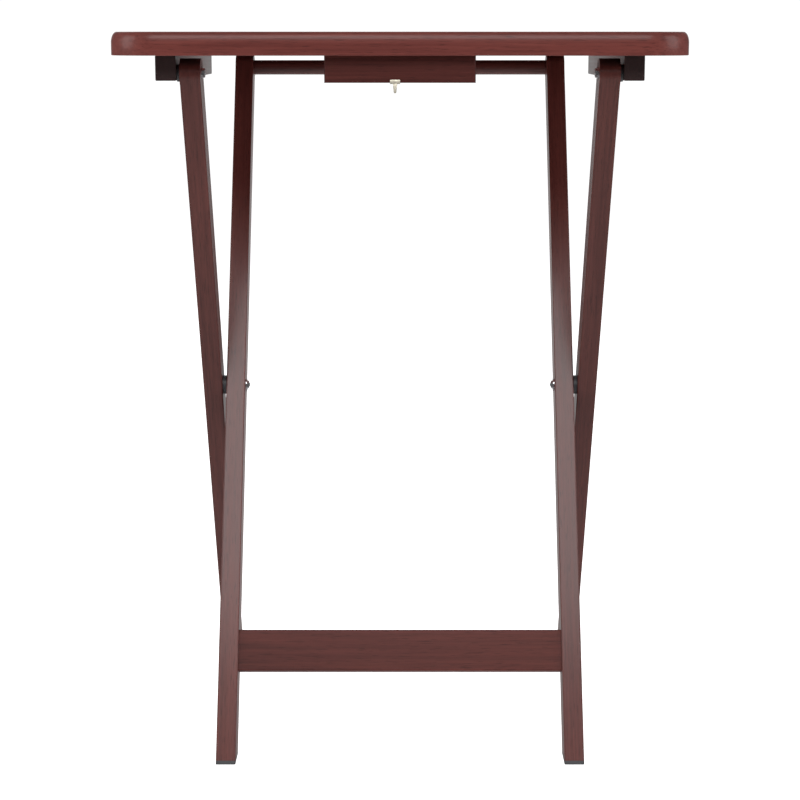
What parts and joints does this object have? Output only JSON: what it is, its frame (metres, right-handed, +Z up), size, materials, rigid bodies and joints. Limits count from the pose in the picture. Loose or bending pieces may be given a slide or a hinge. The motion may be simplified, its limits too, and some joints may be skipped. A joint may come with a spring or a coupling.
{
  "type": "folding tray table",
  "caption": "Folding tray table with a flat rectangular wooden top on crossed legs that close flat, joined by a dowel, a low rail and side pivots.",
  "frame": {"origin": "on the floor under the middle of the table, with the legs open", "axes": "+Z up, -Y towards the front, where the tray's pivots are, -X towards the left seen from the front"},
  "size_m": [0.498, 0.372, 0.655],
  "materials": {
    "walnut": "dark reddish-brown stain under satin lacquer",
    "zinc": "bright zinc plate",
    "brass": "pale brass-toned spring strip",
    "dark_plastic": "matt dark grey"
  },
  "bodies": {
    "outer_legs": {"outer_leg_left": "walnut", "outer_leg_right": "walnut", "leg_bolts": "zinc", "leg_spacers": "dark_plastic", "leg_washers": "zinc", "leg_nuts": "zinc", "outer_foot_pads": "dark_plastic", "tray_bolts": "zinc", "tray_spacers": "dark_plastic", "tray_washers": "zinc", "tray_nuts": "zinc"},
    "inner_frame": {"inner_leg_left": "walnut", "inner_leg_right": "walnut", "bottom_rail": "walnut", "rail_screws": "zinc", "top_dowel": "walnut", "inner_foot_pads": "dark_plastic"},
    "tray": {"tray_top": "walnut", "cleat_left": "walnut", "cleat_right": "walnut", "cleat_screws": "zinc", "front_block": "walnut", "block_screws": "zinc", "catch_strap": "brass", "catch_screw": "zinc", "rear_stop_block": "walnut", "stop_screws": "zinc"}
  },
  "joints": [
    {"name": "tray_swing", "type": "hinge", "parent": "outer_legs", "child": "tray", "pos_m": [0, -0.1475, 0.62], "axis": [1, 0, 0], "range_deg": [0, 116.03]},
    {"name": "leg_fold", "type": "hinge", "parent": "outer_legs", "child": "inner_frame", "pos_m": [0, 0, 0.31806], "axis": [1, 0, 0], "range_deg": [0, 52.07]}
  ],
  "couplings": [
    {"joint": "leg_fold", "follows": "tray_swing", "ratio": 0.4487}
  ]
}
